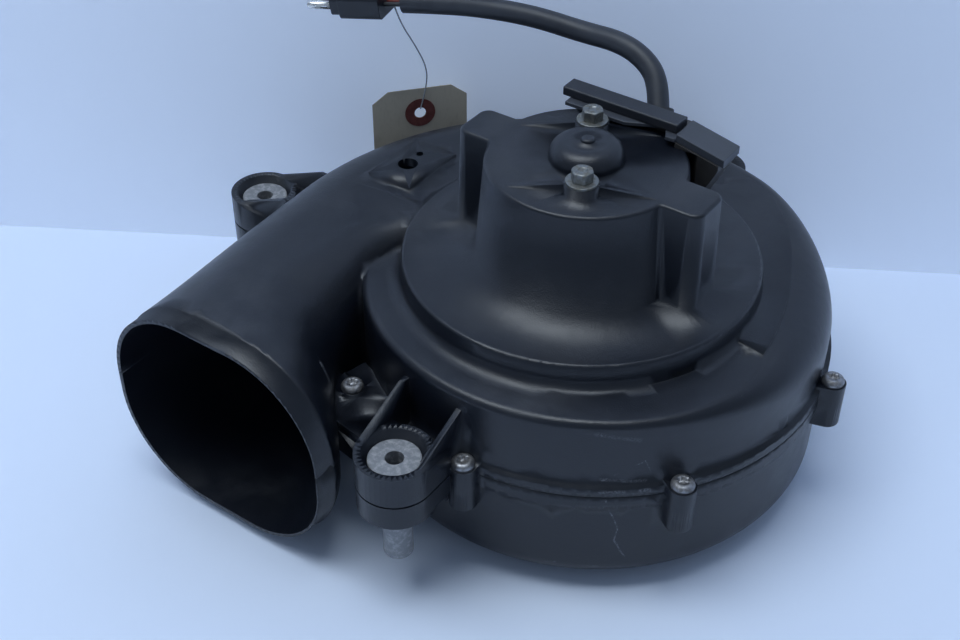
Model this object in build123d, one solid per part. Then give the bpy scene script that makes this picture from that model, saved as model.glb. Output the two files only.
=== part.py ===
from build123d import *
import math
import os

# Centrifugal blower: scroll housing with an oval tangential outlet, motor can on its upper side and a
# squirrel-cage wheel inside. Millimetres, +Z up. The origin is on the motor axis in the plane of the
# inlet ring's lower edge. The outlet points along -Y, on the -X side of the axis.

os.makedirs("parts", exist_ok=True)

# ---- scroll housing ----
wall = 2.6
deck_plate_rise = 0.7
split_height = 57.5
floor_height = 8.0
deck_height = 93.5
throat_radius = 92.0
throat_angle = 240.0
scroll_growth = 51.0
growth_power = 1.7
scroll_end_angle = 546.5
scroll_start_angle = 200.0
section_inner_radius = 30.0
shoulder_tight = 3.6
shoulder_wide = 19.0
shoulder_back = 7.5
shoulder_end = 30.0
bottom_rounding = 10.0
lip_low = 51.0
lip_high = 62.0
lip_groove_depth = 1.1
lip_groove_height = 0.6
lip_start_angle = 243.0
lip_step_angle = 12.4
lip_steps = 24
lip_proud = 2.0

# ---- outlet duct ----
duct_top_height = 102.0
outlet_width = 110.7
outlet_height = 97.0
outlet_center_height = 53.5
outlet_corner = 43.0
outlet_face_y = -133.0
duct_wall = 145.4
rim_length = 8.5
rim_step = 0.6
flare_end_y = -122.0

# ---- raised disc, motor can, lobes, dome ----
disc_radius = 75.0
disc_foot_radius = 76.4
disc_height = 104.0
can_radius = 41.0
can_foot_radius = 44.4
can_height = 148.0
lobe_reach = 56.5
lobe_width = 21.5
lobe_corner = 5.0
lobe_joint = 2.0
lobe_draft = 1.0
edge_rounding = 1.6
dome_radius = 15.5
dome_height = 9.0
dome_rounding = 7.0
dome_nub_radius = 3.0
dome_nub_height = 1.4

# ---- motor bolts ----
bolt_circle = 23.2
bolt_angle = 296.7
bolt_boss_radius = 7.0
bolt_boss_height = 4.2
bolt_rib_half_length = 30.0
bolt_rib_width = 2.0
bolt_radius = 2.5
bolt_head_across_flats = 8.0
bolt_head_height = 4.6
bolt_grip = 17.0
washer_radius = 6.6
washer_thickness = 1.2
fastener_clearance = 0.3
thread_clearance = 0.05

# ---- air inlet ----
inlet_radius = 50.0
inlet_ring_radius = 64.0
inlet_ring_height = 12.0
floor_patch = [(-50.0, 4.0), (-92.0, -2.0), (-90.0, -40.0), (-48.0, -26.0)]

# ---- shell screws and their bosses ----
screw_boss_radius = 5.6
screw_boss_top = 63.5
screw_boss_bottom = 43.0
screw_offset = 5.4
screw_web_reach = 3.2
screw_head_radius = 4.75
screw_head_height = 2.8
screw_shank_radius = 2.1
screw_length = 19.0
scroll_screw_angles = (275.7, 325.1, 375.7, 463.0, 505.0)
tongue_screw = (-53.5, -88.2)
tongue_plate = [
    (-63.0, -84.0),
    (-60.0, -95.0),
    (-50.0, -106.0),
    (-27.0, -110.0),
    (-24.0, -92.0),
    (-44.0, -78.0),
    (-60.0, -72.0),
]
duct_screw_y = -72.0

# ---- mounting ears and sleeves ----
ear_radius = 15.8
ear_reach = 24.5
ear_x = -8.8
duct_ear_y = -11.4
ear_top = 74.5
ear_bottom = 48.5
ear_split = 60.0
ear_joint_reach = 18.5
ear_web_foot = 44.0
rear_ear_x = -5.0
rear_ear_reach = 13.5
ear_gap = 0.8
ear_recess_radius = 12.6
ear_seat = 70.0
ear_plate_reach = 15.0
ear_rib_width = 2.2
ear_rib_rise = 11.0
ear_rib_inset = 1.8
ear_rib_start = -3.0
sleeve_flange_radius = 10.6
sleeve_flange_thickness = 1.6
sleeve_radius = 6.1
sleeve_bore = 3.7
sleeve_foot = 20.5
sleeve_fit = 0.15

# ---- duct pad ----
pad_left = -109.5
pad_right = -86.5
pad_front = -5.0
pad_back = 30.5
pad_height = 103.7
pad_hole = (-99.5, 11.0)
pad_hole_radius = 4.6
pad_pilot = (-100.2, 20.9)
pad_pilot_radius = 1.8

# ---- motor ----
motor_case_radius = 36.0
motor_case_wall = 1.6
motor_case_bottom = 92.0
end_plate_thickness = 4.0
motor_case_top = can_height - wall - end_plate_thickness
bearing_boss_radius = 10.5
bearing_boss_height = 9.0
bearing_boss_gap = 0.6
lower_bearing_boss_radius = 11.0
lower_bearing_boss_height = 8.0
bearing_radius = 7.0
bearing_length = 8.0
shaft_radius = 4.0
shaft_bottom = 48.0
shaft_top = 152.0
running_clearance = 0.03
press_clearance = 0.02
magnet_thickness = 6.0
magnet_half_angle = 62.0
magnet_bottom = 97.0
magnet_top = 129.0
armature_radius = 26.6
armature_bottom = 102.0
armature_top = 124.0
armature_slots = 12
slot_radius = 3.0
slot_opening = 1.8
winding_overhang = 5.0
commutator_radius = 10.0
commutator_height = 7.5
commutator_bars = 12
brush_plate_thickness = 2.0
brush_plate_radius = 34.0
brush_width = 5.0
brush_height = 5.0
brush_length = 11.0
spring_radius = 2.0
spring_wire = 0.45
spring_length = 8.0
thrust_washer_radius = 6.0
thrust_washer_thickness = 0.8

# ---- blower wheel ----
wheel_radius = 72.0
wheel_eye_radius = 57.5
wheel_bottom = 13.0
wheel_top = 84.0
wheel_plate = 2.2
wheel_ring_height = 4.0
blade_count = 40
blade_thickness = 1.2
blade_arc_radius = 10.0
wheel_hub_radius = 11.0
wheel_hub_bottom = 56.0
wheel_dish_radius = 38.0
wheel_dish_drop = 14.0
hub_bush_radius = 7.0
clip_radius = 9.0
clip_thickness = 0.9

# ---- terminal box behind the can ----
box_left = -27.0
box_right = 44.0
box_front = 28.0
box_upper_front = 36.0
box_back = 47.0
box_taper = 13.0
box_slope_height = 34.0
lid_height = 150.5
lid_thickness = 1.8
lid_back = 40.0
tab_left = 24.0
tab_right = 46.0
tab_front = 28.5
tab_back = 42.5
tab_drop = 4.6
tab_extra = 1.8
bar_left = -31.5
bar_right = 22.8
bar_front = 31.2
bar_width = 9.0
bar_height = 4.2
box_clearance = 0.1

# ---- lead, connector and tag ----
cable_radius = 4.7
cable_exit_radius = 6.6
cable_exit_length = 20.0
cable_route = [
    (2.2, 54.0, 145.7),
    (-1.8, 60.0, 153.5),
    (-9.8, 64.0, 160.2),
    (-23.4, 65.2, 164.8),
    (-44.0, 65.8, 163.4),
    (-62.8, 61.0, 166.4),
    (-80.1, 56.1, 167.3),
    (-104.3, 53.4, 164.2),
    (-127.9, 47.7, 160.3),
]

wire_radius = 1.1
wire_spread = 1.7
wire_length = 9.0
connector_length = 21.0
connector_width = 16.5
connector_height = 11.0
connector_nose = 5.0
pin_radius = 2.0
pin_length = 13.0
pin_spacing = 8.4
peg_width = 2.8
peg_height = 5.0
peg_length = 6.5
tag_width = 47.6
tag_height = 95.2
tag_thickness = 0.45
tag_corner = 8.0
tag_top = (-134.2, 65.6, 106.2)
tag_yaw = 50.0
tag_hole_drop = 13.4
patch_radius = 7.6
patch_hole = 2.9
patch_thickness = 0.25
string_gap = 0.6
string_bends = [
    (-134.4, 52.6, 146.6),
    (-132.2, 59.8, 133.5),
    (-129.9, 66.6, 118.5),
    (-130.8, 66.9, 106.8),
]
string_radius = 0.35


def scroll_radius(angle):
    """Outer radius of the scroll wall at a running angle in degrees."""
    share = max(0.0, (angle - throat_angle) / (540.0 - throat_angle))
    return throat_radius + scroll_growth * share**growth_power


def smooth(value, low, high):
    """0 below low, 1 above high and a smooth step between."""
    share = min(1.0, max(0.0, (value - low) / (high - low)))
    return share * share * (3.0 - 2.0 * share)


def blend(low, high, share):
    return low + (high - low) * share


def radial_frame(angle):
    """Origin and outward direction of the upright plane through the axis at an angle."""
    turn = math.radians(angle)
    return (0.0, 0.0), (math.cos(turn), math.sin(turn))


def cross_frame(y):
    """Origin and outward direction of the upright plane across the duct at y."""
    return (0.0, y), (-1.0, 0.0)


def rounded_section(frame, inner, outer, low, high, corners):
    """Closed wire of a rectangle with four corner radii, in an upright plane.

    corners are the radii at inner-low, outer-low, outer-high and inner-high.
    """
    (ox, oy), (ux, uy) = frame

    def at(reach, height):
        return Vector(ox + ux * reach, oy + uy * reach, height)

    inner_low, outer_low, outer_high, inner_high = corners
    part = math.sqrt(0.5)
    centers = (
        (outer - outer_low, low + outer_low, outer_low, (0, -1), (1, 0), (part, -part)),
        (outer - outer_high, high - outer_high, outer_high, (1, 0), (0, 1), (part, part)),
        (inner + inner_high, high - inner_high, inner_high, (0, 1), (-1, 0), (-part, part)),
        (inner + inner_low, low + inner_low, inner_low, (-1, 0), (0, -1), (-part, -part)),
    )
    arcs = []
    for reach, height, radius, first, last, middle in centers:
        ends = [at(reach + radius * d[0], height + radius * d[1]) for d in (first, middle, last)]
        arcs.append(ends)
    edges = []
    for index, (start, middle, finish) in enumerate(arcs):
        edges.append(Edge.make_three_point_arc(start, middle, finish))
        following = arcs[(index + 1) % 4][0]
        edges.append(Edge.make_line(finish, following))
    return Wire(edges)


def scroll_sections(inset):
    """Sections round the scroll, moved inwards by inset for the air space."""
    wires = []
    count = 20
    step = (scroll_end_angle - scroll_start_angle) / count
    for index in range(count + 1):
        angle = scroll_start_angle + step * index
        wires.append(scroll_section(angle, inset, section_inner_radius))
    return wires


def shoulder_radius(angle):
    """Rounding between the deck and the scroll wall, tight in front and wide on the right."""
    early = smooth(angle, 318.0, 385.0)
    middle = smooth(angle, 392.0, 436.0)
    late = smooth(angle, 440.0, scroll_end_angle)
    front = blend(shoulder_tight, shoulder_wide, early)
    return blend(blend(front, shoulder_back, middle), shoulder_end, late)


def scroll_section(angle, inset, inner):
    rise = smooth(angle, 440.0, 535.0)
    top = blend(deck_height, duct_top_height, rise)
    foot = blend(bottom_rounding, bottom_rounding + 4.0, rise)
    shoulder = shoulder_radius(angle)
    low = floor_height + inset
    corners = (
        1.0 + inset * 0.2,
        foot - inset,
        shoulder - inset,
        1.0 + inset * 0.2,
    )
    outer = scroll_radius(angle) - inset
    return rounded_section(radial_frame(angle), inner, outer, low, top - inset, corners)


def duct_sections(inset, last_y):
    """Sections of the duct, from the end of the scroll to the outlet."""
    outer_start = scroll_radius(scroll_end_angle) * math.cos(math.radians(scroll_end_angle - 540.0))
    outlet_outer = duct_wall
    outlet_inner = outlet_outer - outlet_width
    outlet_low = outlet_center_height - outlet_height / 2
    outlet_high = outlet_center_height + outlet_height / 2
    wires = [scroll_section(scroll_end_angle, inset, 60.0 + inset)]
    stations = (
        (-34.0, 70.0, 0.12),
        (-54.0, 69.5, 0.30),
        (-72.0, 66.5, 0.50),
        (-88.0, 61.5, 0.70),
        (-105.0, 48.5, 0.90),
        (flare_end_y, outlet_inner, 1.0),
        (last_y, outlet_inner, 1.0),
    )
    for y, inner, share in stations:
        low = blend(floor_height, outlet_low, share)
        high = blend(duct_top_height, outlet_high, share)
        outer = blend(outer_start, outlet_outer, share)
        outer_corner = blend(30.0, outlet_corner, share)
        foot_corner = blend(14.0, outlet_corner, share)
        inner_corner = blend(13.0, outlet_corner, share)
        corners = (
            inner_corner - inset,
            foot_corner - inset,
            outer_corner - inset,
            inner_corner - inset,
        )
        frame = cross_frame(y)
        wires.append(rounded_section(frame, inner + inset, outer - inset, low + inset, high - inset, corners))
    return wires


def cylinder(radius, low, high, x=0.0, y=0.0):
    return Pos(x, y, (low + high) / 2) * Cylinder(radius, high - low)


def box(x0, x1, y0, y1, z0, z1):
    return Pos((x0 + x1) / 2, (y0 + y1) / 2, (z0 + z1) / 2) * Box(x1 - x0, y1 - y0, z1 - z0)


def cone(foot_radius, top_radius, low, high):
    return Pos(0, 0, (low + high) / 2) * Cone(foot_radius, top_radius, high - low)


def prism(points, low, high):
    """Upright prism over an outline of (x, y) points."""
    outline = make_face(Polyline(*points, close=True))
    return Pos(0, 0, low) * extrude(outline, amount=high - low)


def scroll_outer():
    scroll = Solid.make_loft(scroll_sections(0.0))
    duct = Solid.make_loft(duct_sections(0.0, outlet_face_y))
    return scroll, duct


def can_outline(radius, reach, width, corner, joint):
    """Round can with a lobe at each side, as a flat face."""
    outline = Circle(radius) + Rectangle(2 * reach, width)
    tips = [v for v in outline.vertices() if abs(v.X) > reach - 0.1]
    outline = fillet(tips, corner)
    joints = [v for v in outline.vertices() if abs(math.hypot(v.X, v.Y) - radius) < 0.1]
    return fillet(joints, joint)


def can_block(inset, foot_height, top_height):
    """Drafted can with its lobes and the straight foot under it, as two solids moved inwards by inset."""
    corner = lobe_corner - inset
    joint = lobe_joint + inset
    width = lobe_width - 2 * inset
    top = can_outline(can_radius - inset, lobe_reach - inset, width, corner, joint)
    foot_reach = lobe_reach + lobe_draft - inset
    foot = can_outline(can_foot_radius - inset, foot_reach, width + 2 * lobe_draft, corner, joint)
    low_wire = (Pos(0, 0, disc_height) * foot).face().outer_wire()
    high_wire = (Pos(0, 0, top_height) * top).face().outer_wire()
    block = Solid.make_loft([low_wire, high_wire], ruled=True)
    plinth = Pos(0, 0, foot_height) * extrude(foot, amount=disc_height - foot_height)
    return block, plinth


def upper_details():
    """What stands on the upper shell, as solids that reach down into its deck."""
    disc = cone(disc_foot_radius, disc_radius, deck_height, disc_height) + cylinder(
        disc_foot_radius, deck_height - 20.0, deck_height
    )
    disc = fillet(disc.edges().filter_by(GeomType.CIRCLE).sort_by(Axis.Z)[-1], edge_rounding)
    block, plinth = can_block(0.0, disc_height - 10.0, can_height)
    top_edges = [e for e in block.edges() if abs(e.center().Z - can_height) < 0.01]
    can = fillet(top_edges, edge_rounding) + plinth
    dome = cylinder(dome_radius, can_height - 1.0, can_height + dome_height)
    dome = fillet(dome.edges().sort_by(Axis.Z)[-1], dome_rounding)
    nub_top = can_height + dome_height + dome_nub_height
    nub = cylinder(dome_nub_radius, can_height + 2.0, nub_top)
    nub = fillet(nub.edges().sort_by(Axis.Z)[-1], dome_nub_height * 0.8)
    can = can + dome + nub
    for side in (0.0, 180.0):
        can += bolt_boss(bolt_angle + side)
    return disc, can


def bolt_boss(angle):
    """Boss under a motor bolt, with the long tapered rib across it."""
    boss = cylinder(bolt_boss_radius, can_height - 1.0, can_height + bolt_boss_height, bolt_circle)
    half = bolt_rib_half_length
    profile = Polyline(
        (-half, can_height - 1.0),
        (half, can_height - 1.0),
        (half, can_height),
        (0.0, can_height + bolt_boss_height),
        (-half, can_height),
        close=True,
    )
    face = Plane(origin=(bolt_circle - bolt_rib_width / 2, 0, 0), x_dir=(0, 1, 0), z_dir=(1, 0, 0))
    rib = extrude(face * make_face(profile), amount=bolt_rib_width)
    return Rot(0, 0, angle) * (boss + rib)


def lip_band():
    """Band round the joint, where the upper shell's skirt covers the joint line."""
    band = Pos(0, 0, lip_low) * extrude(lip_face(lip_proud), amount=lip_high - lip_low)
    groove = extrude(lip_face(lip_proud + 1.0), amount=lip_groove_height)
    groove -= extrude(lip_face(lip_proud - lip_groove_depth), amount=lip_groove_height)
    return band - Pos(0, 0, split_height - lip_groove_height / 2) * groove


def lip_face(proud):
    """Flat outline of the scroll, standing proud of its wall."""
    points = []
    for step in range(lip_steps):
        angle = lip_start_angle + lip_step_angle * step
        turn = math.radians(angle)
        reach = scroll_radius(angle) + proud
        points.append((reach * math.cos(turn), reach * math.sin(turn)))
    wall_line = Spline(*points)
    closing = Polyline(points[-1], (-60.0, 0.0), (-30.0, -55.0), points[0])
    return make_face(Curve() + [wall_line, closing])


def outlet_face(offset):
    """Outline of the outlet, grown by an offset, as a face."""
    low = outlet_center_height - outlet_height / 2 - offset
    high = outlet_center_height + outlet_height / 2 + offset
    left, right = duct_wall + offset, duct_wall - outlet_width - offset
    corners = (outlet_corner + offset,) * 4
    return Face(rounded_section(cross_frame(outlet_face_y), right, left, low, high, corners))


def rim_band():
    """What is cut away round the outlet's rim to leave it a step thinner."""
    around = extrude(outlet_face(4.0), amount=rim_length, dir=(0, 1, 0))
    return around - extrude(outlet_face(-rim_step), amount=rim_length, dir=(0, 1, 0))


def deck_plate():
    """Low raised plate on the right of the deck, whose edge follows the shoulder."""
    points = []
    for angle in range(356, 446, 10):
        turn = math.radians(angle)
        reach = scroll_radius(angle) - shoulder_radius(angle) - 1.0
        points.append((reach * math.cos(turn), reach * math.sin(turn)))
    edge = Spline(*points)
    closing = Polyline(points[-1], (0.0, 60.0), (60.0, 0.0), points[0])
    face = make_face(Curve() + [edge, closing])
    return Pos(0, 0, deck_height - 1.0) * extrude(face, amount=1.0 + deck_plate_rise)


def wall_point(angle, offset):
    turn = math.radians(angle)
    reach = scroll_radius(angle) + offset
    return reach * math.cos(turn), reach * math.sin(turn)


def screw_places():
    """(x, y, direction to the wall in degrees) of every shell screw."""
    places = []
    for angle in scroll_screw_angles:
        x, y = wall_point(angle, screw_offset)
        places.append((x, y, angle + 180.0))
    places.append((tongue_screw[0], tongue_screw[1], 180.0))
    places.append((-duct_wall - screw_offset, duct_screw_y, 0.0))
    return places


def screw_boss(x, y, direction):
    """Upright boss with the web that joins it to the wall."""
    boss = cylinder(screw_boss_radius, screw_boss_bottom, screw_boss_top)
    reach = screw_boss_radius + screw_web_reach
    web = box(0.0, reach, -screw_boss_radius, screw_boss_radius, screw_boss_bottom, screw_boss_top)
    return Pos(x, y, 0) * Rot(0, 0, direction) * (boss + web)


def ear_places():
    """(x, y, direction to the wall in degrees) of the three mounting ears."""
    front_wall = math.sqrt(scroll_radius(270.0) ** 2 - ear_x**2)
    back_wall = math.sqrt(scroll_radius(452.0) ** 2 - ear_x**2)
    return {
        "front": (ear_x, -front_wall - ear_reach, 90.0),
        "rear": (rear_ear_x, back_wall + rear_ear_reach, 270.0),
        "duct": (-duct_wall - ear_reach, duct_ear_y, 0.0),
    }


def ear_solid():
    """Ear round the origin with its wall towards +X, both shells' parts in one piece."""
    reach = ear_reach + 3.0
    half = ear_radius - 2.0
    body = cylinder(ear_radius, ear_bottom, ear_top)
    body += box(0.0, ear_plate_reach, -ear_radius, ear_radius, ear_bottom + 2.0, ear_top - 1.5)
    body += box(ear_plate_reach - 1.0, reach, -half, half, ear_web_foot, ear_split)
    rib_line = Polyline(
        (ear_rib_start, ear_top - 12.0),
        (reach, ear_top - 12.0),
        (reach, ear_top + ear_rib_rise),
        (ear_reach - 0.5, ear_top + ear_rib_rise),
        (ear_rib_start, ear_top - 0.5),
        close=True,
    )
    rib = extrude(Plane.XZ * make_face(rib_line), amount=ear_rib_width)
    for side in (-ear_radius + ear_rib_inset + ear_rib_width, ear_radius):
        body += Pos(0, side, 0) * rib
    body -= cylinder(ear_recess_radius, ear_seat, ear_top + 1.0)
    body -= cylinder(sleeve_radius + sleeve_fit, ear_bottom - 1.0, ear_top + 1.0)
    return body


def ear_joint(low, high):
    """Block over an ear's outer part between two heights, to part it or slit it."""
    return box(-ear_radius - 1.0, ear_joint_reach, -ear_radius - 1.0, ear_radius + 1.0, low, high)


def place(solid, spot):
    x, y, direction = spot
    return Pos(x, y, 0) * Rot(0, 0, direction) * solid


def housing():
    """Whole scroll housing with its air space, before it is parted into two shells."""
    scroll, duct = scroll_outer()
    disc, can = upper_details()
    shell = Part() + scroll
    for piece in (duct, disc, can, lip_band(), deck_plate()):
        shell += piece
    shell -= rim_band()
    shell += box(pad_left, pad_right, pad_front, pad_back, duct_top_height - 6.0, pad_height)
    shell += cylinder(inlet_ring_radius, 0.0, inlet_ring_height)
    shell += prism(floor_patch, floor_height + 0.1, floor_height + wall)
    shell += prism(tongue_plate, screw_boss_bottom + 3.0, screw_boss_top - 1.0)
    for x, y, direction in screw_places():
        shell += screw_boss(x, y, direction)
    for spot in ear_places().values():
        shell += place(ear_solid(), spot)
    return shell


def air_space():
    """Everything that is hollow inside the housing."""
    scroll = Solid.make_loft(scroll_sections(wall))
    duct = Solid.make_loft(duct_sections(wall, outlet_face_y - 5.0))
    hollow = Part() + scroll
    hollow += duct
    hollow += cylinder(throat_radius - wall - 3.0, floor_height + wall, deck_height - 8.0)
    hollow += cone(disc_foot_radius - wall, disc_radius - wall, deck_height - 30.0, disc_height - wall)
    for piece in can_block(wall, disc_height - 8.0, can_height - wall):
        hollow += piece
    dome_inside = bearing_boss_radius + bearing_boss_gap
    hollow += cylinder(dome_inside, can_height - 6.0, can_height + dome_height - wall)
    hollow += cylinder(inlet_radius, -1.0, 20.0)
    hollow += cylinder(pad_hole_radius, duct_top_height - 12.0, pad_height + 1.0, *pad_hole)
    hollow += cylinder(pad_pilot_radius, duct_top_height - 12.0, pad_height + 1.0, *pad_pilot)
    return hollow


def bolt_places():
    places = []
    for side in (0.0, 180.0):
        turn = math.radians(bolt_angle + side)
        places.append((bolt_circle * math.cos(turn), bolt_circle * math.sin(turn)))
    return places


def shells():
    shell = housing() - air_space()
    for x, y in bolt_places():
        shell -= cylinder(bolt_radius + fastener_clearance, can_height - 8.0, can_height + 8.0, x, y)
    for x, y, _ in screw_places():
        shell -= cylinder(screw_shank_radius + fastener_clearance, split_height, screw_boss_top + 1.0, x, y)
        shell -= cylinder(screw_shank_radius + thread_clearance, screw_boss_bottom + 1.0, split_height, x, y)
    below = box(-300, 300, -300, 300, -10, split_height)
    for spot in ear_places().values():
        below += place(ear_joint(split_height - 1.0, ear_split), spot)
        shell -= place(ear_joint(ear_split - ear_gap / 2, ear_split + ear_gap / 2), spot)
    return shell - below, shell & below


def lobed_recess(radius, depth, top):
    """Six-lobe drive recess, as the solid to cut away."""
    tool = cylinder(radius * 0.72, top - depth, top + 1.0)
    for index in range(6):
        turn = math.radians(60.0 * index)
        tool += cylinder(radius * 0.3, top - depth, top + 1.0, radius * 0.75 * math.cos(turn), radius * 0.75 * math.sin(turn))
    return tool


def shell_screw():
    """Pan-head screw standing on z = 0 under its head."""
    head = cylinder(screw_head_radius, 0.0, screw_head_height)
    head = fillet(head.edges().sort_by(Axis.Z)[-1], screw_head_height * 0.75)
    head -= lobed_recess(2.1, 1.6, screw_head_height)
    shank = cylinder(screw_shank_radius, -screw_length + 1.5, 0.0)
    tip = Pos(0, 0, -screw_length + 0.75) * Cone(0.8, screw_shank_radius, 1.5)
    return head + shank + tip


def motor_bolt():
    """Hexagon flange-less bolt standing on z = 0 under its head."""
    head = extrude(RegularPolygon(bolt_head_across_flats / 2, 6, major_radius=False), amount=bolt_head_height)
    dress = cylinder(bolt_head_across_flats / 2 * 1.12, -0.5, bolt_head_height)
    dress = fillet(dress.edges().sort_by(Axis.Z)[-1], 1.0)
    head = head & dress
    dimple = Pos(0, 0, bolt_head_height) * Cone(1.6, 2.4, 0.8)
    shank = cylinder(bolt_radius, -bolt_grip, 0.0)
    return head - dimple + shank


def washer():
    disc = cylinder(washer_radius, 0.0, washer_thickness)
    disc = fillet(disc.edges().sort_by(Axis.Z)[-1], 0.4)
    return disc - cylinder(bolt_radius + fastener_clearance, -1.0, washer_thickness + 1.0)


def mount_sleeve():
    """Flanged sleeve that clamps an ear, its flange on the ear's seat."""
    flange = cylinder(sleeve_flange_radius, ear_seat, ear_seat + sleeve_flange_thickness)
    flange = fillet(flange.edges().sort_by(Axis.Z)[-1], 0.6)
    tube = cylinder(sleeve_radius, sleeve_foot, ear_seat)
    tube = chamfer(tube.edges().sort_by(Axis.Z)[0], 0.5)
    return flange + tube - cylinder(sleeve_bore, sleeve_foot - 1.0, ear_seat + 5.0)


def motor_case():
    """Drawn steel case, open at the top, with the lower bearing's seat in its floor."""
    case = cylinder(motor_case_radius, motor_case_bottom, motor_case_top)
    case = fillet(case.edges().sort_by(Axis.Z)[0], 3.0)
    case -= cylinder(motor_case_radius - motor_case_wall, motor_case_bottom + motor_case_wall, motor_case_top + 1.0)
    seat_low = motor_case_bottom - lower_bearing_boss_height
    boss = cylinder(lower_bearing_boss_radius, seat_low, motor_case_bottom + 1.0)
    case += boss
    case -= cylinder(bearing_radius + press_clearance, seat_low + motor_case_wall, motor_case_bottom + 5.0)
    case -= cylinder(shaft_radius + 1.0, seat_low - 1.0, motor_case_bottom)
    for index in range(6):
        turn = math.radians(60.0 * index + 30.0)
        case -= cylinder(4.0, motor_case_bottom - 1.0, motor_case_bottom + 3.0, 22.0 * math.cos(turn), 22.0 * math.sin(turn))
    return case


def motor_end_plate():
    """Upper end plate, with the upper bearing's seat and the two threaded bolt holes."""
    low = motor_case_top
    plate = cylinder(motor_case_radius, low, low + end_plate_thickness)
    plate += cylinder(bearing_boss_radius, low, low + end_plate_thickness + bearing_boss_height)
    plate -= cylinder(bearing_radius + press_clearance, low - 1.0, low + end_plate_thickness + bearing_boss_height - 1.6)
    for x, y in bolt_places():
        plate -= cylinder(bolt_radius + thread_clearance, low - 1.0, low + 10.0, x, y)
    return plate


def bearing(low):
    ring = cylinder(bearing_radius, low, low + bearing_length)
    ring = chamfer(ring.edges().filter_by(GeomType.CIRCLE), 0.5)
    return ring - cylinder(shaft_radius + running_clearance, low - 1.0, low + bearing_length + 1.0)


def field_magnet(direction):
    outer = motor_case_radius - motor_case_wall - press_clearance
    ring = cylinder(outer, magnet_bottom, magnet_top)
    ring -= cylinder(outer - magnet_thickness, magnet_bottom - 1.0, magnet_top + 1.0)
    reach = outer * 1.6
    half = math.radians(magnet_half_angle)
    points = [(0.0, 0.0), (reach * math.cos(half), reach * math.sin(half)), (reach * 1.2, 0.0)]
    points.append((reach * math.cos(half), -reach * math.sin(half)))
    return Rot(0, 0, direction) * (ring & prism(points, magnet_bottom, magnet_top))


def armature_core():
    core = cylinder(armature_radius, armature_bottom, armature_top)
    for index in range(armature_slots):
        turn = 360.0 / armature_slots * index
        reach = armature_radius - slot_radius - 1.2
        slot = cylinder(slot_radius, armature_bottom - 1.0, armature_top + 1.0, reach)
        slot += box(
            reach, armature_radius + 1.0, -slot_opening / 2, slot_opening / 2, armature_bottom - 1.0, armature_top + 1.0
        )
        core -= Rot(0, 0, turn) * slot
    return core - cylinder(shaft_radius + press_clearance, armature_bottom - 1.0, armature_top + 1.0)


def armature_windings():
    """Copper in the slots with the end turns above and below the core."""
    reach = armature_radius - slot_radius - 1.2
    outer = reach + slot_radius - 0.3
    low = armature_bottom - winding_overhang
    high = armature_top + winding_overhang
    coils = Part()
    for start, finish in ((low, armature_bottom), (armature_top, high)):
        ring = cylinder(outer, start, finish)
        ring = fillet(ring.edges().filter_by(GeomType.CIRCLE), 1.6)
        coils += ring - cylinder(shaft_radius + 2.0, start - 1.0, finish + 1.0)
    for index in range(armature_slots):
        turn = 360.0 / armature_slots * index
        coils += Rot(0, 0, turn) * cylinder(slot_radius - 0.3, low + 2.0, high - 2.0, reach)
    return coils


def commutator():
    low = armature_top + winding_overhang
    drum = cylinder(commutator_radius, low, low + commutator_height)
    for index in range(commutator_bars):
        turn = 360.0 / commutator_bars * index
        drum -= Rot(0, 0, turn) * box(commutator_radius - 0.8, commutator_radius + 1.0, -0.3, 0.3, low - 1.0, low + 20.0)
    return drum - cylinder(shaft_radius + press_clearance, low - 1.0, low + 20.0)


def brush_level():
    return armature_top + winding_overhang + commutator_height / 2


def brush_plate():
    """Insulating plate above the commutator, with the two brush boxes hanging under it."""
    low = brush_level() + brush_height / 2 + 1.0
    plate = cylinder(brush_plate_radius, low, low + brush_plate_thickness)
    plate -= cylinder(commutator_radius + 1.5, low - 1.0, low + 10.0)
    for direction in (0.0, 180.0):
        start = commutator_radius + 2.5
        reach = start + brush_length + spring_length
        guide = box(start, reach + 1.0, -brush_width / 2 - 1.2, brush_width / 2 + 1.2, brush_level() - 3.6, low)
        guide -= box(start - 1.0, reach, -brush_width / 2 - 0.1, brush_width / 2 + 0.1, brush_level() - 2.6, brush_level() + 2.6)
        plate += Rot(0, 0, direction) * guide
    for x, y in bolt_places():
        plate -= cylinder(bolt_radius + 1.0, low - 1.0, low + 10.0, x, y)
    return plate


def brush(direction):
    start = commutator_radius + 0.3
    half = brush_width / 2
    block = box(start - 1.0, start + brush_length, -half, half, brush_level() - 2.5, brush_level() + 2.5)
    block -= cylinder(commutator_radius + 0.3, brush_level() - 5.0, brush_level() + 5.0)
    return Rot(0, 0, direction) * block


def brush_spring(direction):
    """Coil spring between a brush and the closed end of its box."""
    start = commutator_radius + 0.3 + brush_length + spring_wire
    pitch = spring_length / 6.0
    path = Helix(pitch=pitch, height=pitch * 5.0, radius=spring_radius)
    profile = Plane(origin=path @ 0, z_dir=path % 0) * Circle(spring_wire)
    coil = sweep(profile, path=path, is_frenet=True)
    level = Pos(start + 0.2, 0, brush_level())
    return Rot(0, 0, direction) * level * Rot(0, 90, 0) * coil


def motor_shaft():
    shaft = cylinder(shaft_radius, shaft_bottom, shaft_top)
    shaft = chamfer(shaft.edges().filter_by(GeomType.CIRCLE), 0.6)
    groove_low = wheel_hub_bottom - 0.2 - clip_thickness
    groove = cylinder(shaft_radius + 1.0, groove_low, groove_low + clip_thickness + 0.1)
    groove -= cylinder(shaft_radius - 0.5, groove_low - 1.0, groove_low + 3.0)
    return shaft - groove


def thrust_washer(low):
    ring = cylinder(thrust_washer_radius, low, low + thrust_washer_thickness)
    return ring - cylinder(shaft_radius + press_clearance, low - 1.0, low + 3.0)


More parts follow.
